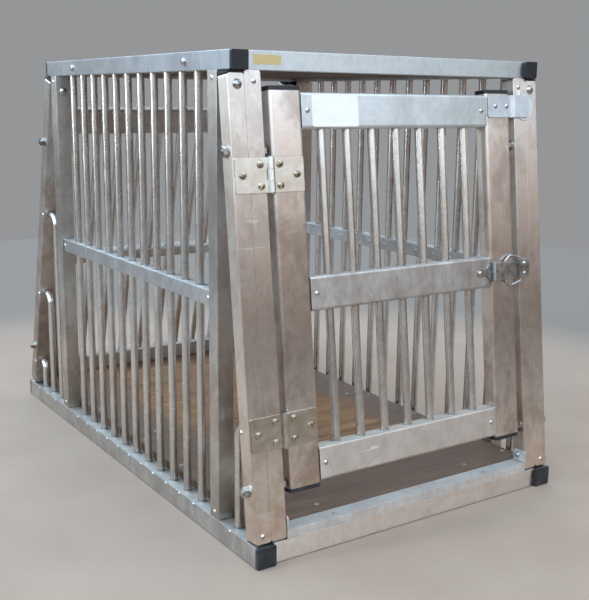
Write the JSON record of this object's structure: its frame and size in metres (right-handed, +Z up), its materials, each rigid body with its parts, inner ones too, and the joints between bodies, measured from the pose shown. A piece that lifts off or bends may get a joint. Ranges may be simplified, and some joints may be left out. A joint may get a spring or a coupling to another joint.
{
  "type": "sloping-front dog transport cage",
  "caption": "Aluminium dog transport cage: barred sides and back, sloping barred hinged door with draw latch, plywood floor and roof.",
  "frame": {"origin": "middle of the base frame's footprint, on the ground under the base rails", "axes": "+X to the right seen from the door, +Y from the door to the rear, +Z up"},
  "size_m": [0.5822, 0.927, 0.68],
  "materials": {
    "tube_aluminium": "satin extruded tube",
    "bar_aluminium": "polished round tube",
    "plate_aluminium": "brushed sheet",
    "aluminium_rivets": "satin domes",
    "black_plastic": "moulded",
    "floor_plywood": "film-faced, worn",
    "roof_plywood": "film-faced",
    "hinge_zinc": "zinc plated",
    "brass_screws": "passivated",
    "latch_zinc": "galvanised",
    "zinc_fasteners": "zinc plated",
    "floor_fasteners": "dull",
    "buffer_foam": "soft"
  },
  "bodies": {
    "frame": {"base_rail_left": "tube_aluminium", "base_rail_right": "tube_aluminium", "base_rail_front": "tube_aluminium", "base_rail_rear": "tube_aluminium", "floor_bearers": "tube_aluminium", "base_end_caps": "black_plastic", "top_rail_left": "tube_aluminium", "top_rail_right": "tube_aluminium", "top_rail_front": "tube_aluminium", "top_rail_rear": "tube_aluminium", "top_end_caps": "black_plastic", "upright_front_left": "tube_aluminium", "upright_front_right": "tube_aluminium", "upright_rear_left": "tube_aluminium", "upright_rear_right": "tube_aluminium", "side_post_front_left": "tube_aluminium", "side_post_front_right": "tube_aluminium", "side_post_rear_left": "tube_aluminium", "side_post_rear_right": "tube_aluminium", "side_post_plugs": "black_plastic", "door_post_left": "tube_aluminium", "door_post_right": "tube_aluminium", "rear_post_left": "tube_aluminium", "rear_post_right": "tube_aluminium", "mid_rail_left": "tube_aluminium", "mid_rail_right": "tube_aluminium", "side_bars_left": "bar_aluminium", "side_bars_right": "bar_aluminium", "rear_rail_top": "tube_aluminium", "rear_rail_middle": "tube_aluminium", "rear_rail_bottom": "tube_aluminium", "rear_bars": "bar_aluminium", "floor_board_front": "floor_plywood", "floor_board_rear": "floor_plywood", "roof_board": "roof_plywood", "sill_strip": "plate_aluminium", "floor_screws": "floor_fasteners", "frame_screws": "zinc_fasteners", "frame_rivets": "aluminium_rivets", "post_bolts": "zinc_fasteners", "post_nuts": "zinc_fasteners", "hinge_frame_leaves": "hinge_zinc", "hinge_frame_screws": "brass_screws", "latch_catch": "latch_zinc", "buffer_pad": "buffer_foam"},
    "door": {"door_stile_left": "tube_aluminium", "door_stile_right": "tube_aluminium", "door_rail_top": "tube_aluminium", "door_rail_middle": "tube_aluminium", "door_rail_bottom": "tube_aluminium", "door_bars": "bar_aluminium", "door_end_caps": "black_plastic", "door_rivets": "aluminium_rivets", "hinge_door_leaves": "hinge_zinc", "hinge_door_screws": "brass_screws", "pivot_pins": "latch_zinc", "latch_base": "latch_zinc", "stop_plate": "plate_aluminium"},
    "latch_lever": {"latch_lever": "latch_zinc"},
    "latch_bail": {"latch_bail": "latch_zinc"}
  },
  "joints": [
    {"name": "door_hinge", "type": "hinge", "parent": "frame", "child": "door", "pos_m": [-0.2255, -0.42201, 0.35936], "axis": [0, -0.1191, -0.9929], "range_deg": [0, 175]},
    {"name": "latch_lever_pivot", "type": "hinge", "parent": "door", "child": "latch_lever", "pos_m": [0.1725, -0.4233, 0.35951], "axis": [0, -0.1191, -0.9929], "range_deg": [0, 150]},
    {"name": "latch_bail_pivot", "type": "hinge", "parent": "latch_lever", "child": "latch_bail", "pos_m": [0.197, -0.423, 0.35948], "axis": [0, -0.1191, -0.9929], "range_deg": [0, 45]}
  ]
}
